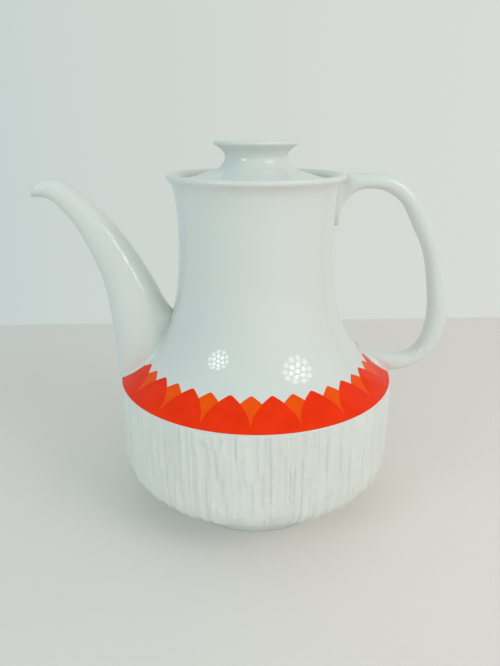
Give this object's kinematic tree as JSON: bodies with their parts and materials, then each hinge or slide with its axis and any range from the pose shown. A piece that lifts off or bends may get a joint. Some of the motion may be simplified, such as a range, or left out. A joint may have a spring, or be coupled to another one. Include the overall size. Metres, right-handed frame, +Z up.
{
  "type": "coffee pot",
  "caption": "Glazed porcelain coffee pot with a ribbed drum, waisted neck, curved spout, loop handle, sunk lift-off lid and a band of printed petals on its shoulder.",
  "frame": {"origin": "middle of the box round the whole pot, on the surface that it stands on; the pot's own axis is at x = +4.6 mm", "axes": "+Z up along the pot's axis, +X towards the handle, -X towards the spout, -Y is the front"},
  "size_m": [0.2148, 0.1476, 0.1942],
  "materials": {
    "white_glaze": "smooth white gloss glaze, semi-matte on the ribbed drum",
    "red_print": "glossy fired-on print",
    "orange_print": "glossy fired-on print"
  },
  "bodies": {
    "pot": {"body": "white_glaze", "spout": "white_glaze", "handle": "white_glaze", "petals_orange_front": "orange_print", "petals_orange_back": "orange_print", "petals_red_front": "red_print", "petals_red_back": "red_print"},
    "lid": {"lid": "white_glaze", "lid_knob": "white_glaze"}
  },
  "joints": [
    {"name": "lid_lift", "type": "slide", "parent": "pot", "child": "lid", "axis": [0, 0, 1], "range_m": [0, 0.06]}
  ]
}
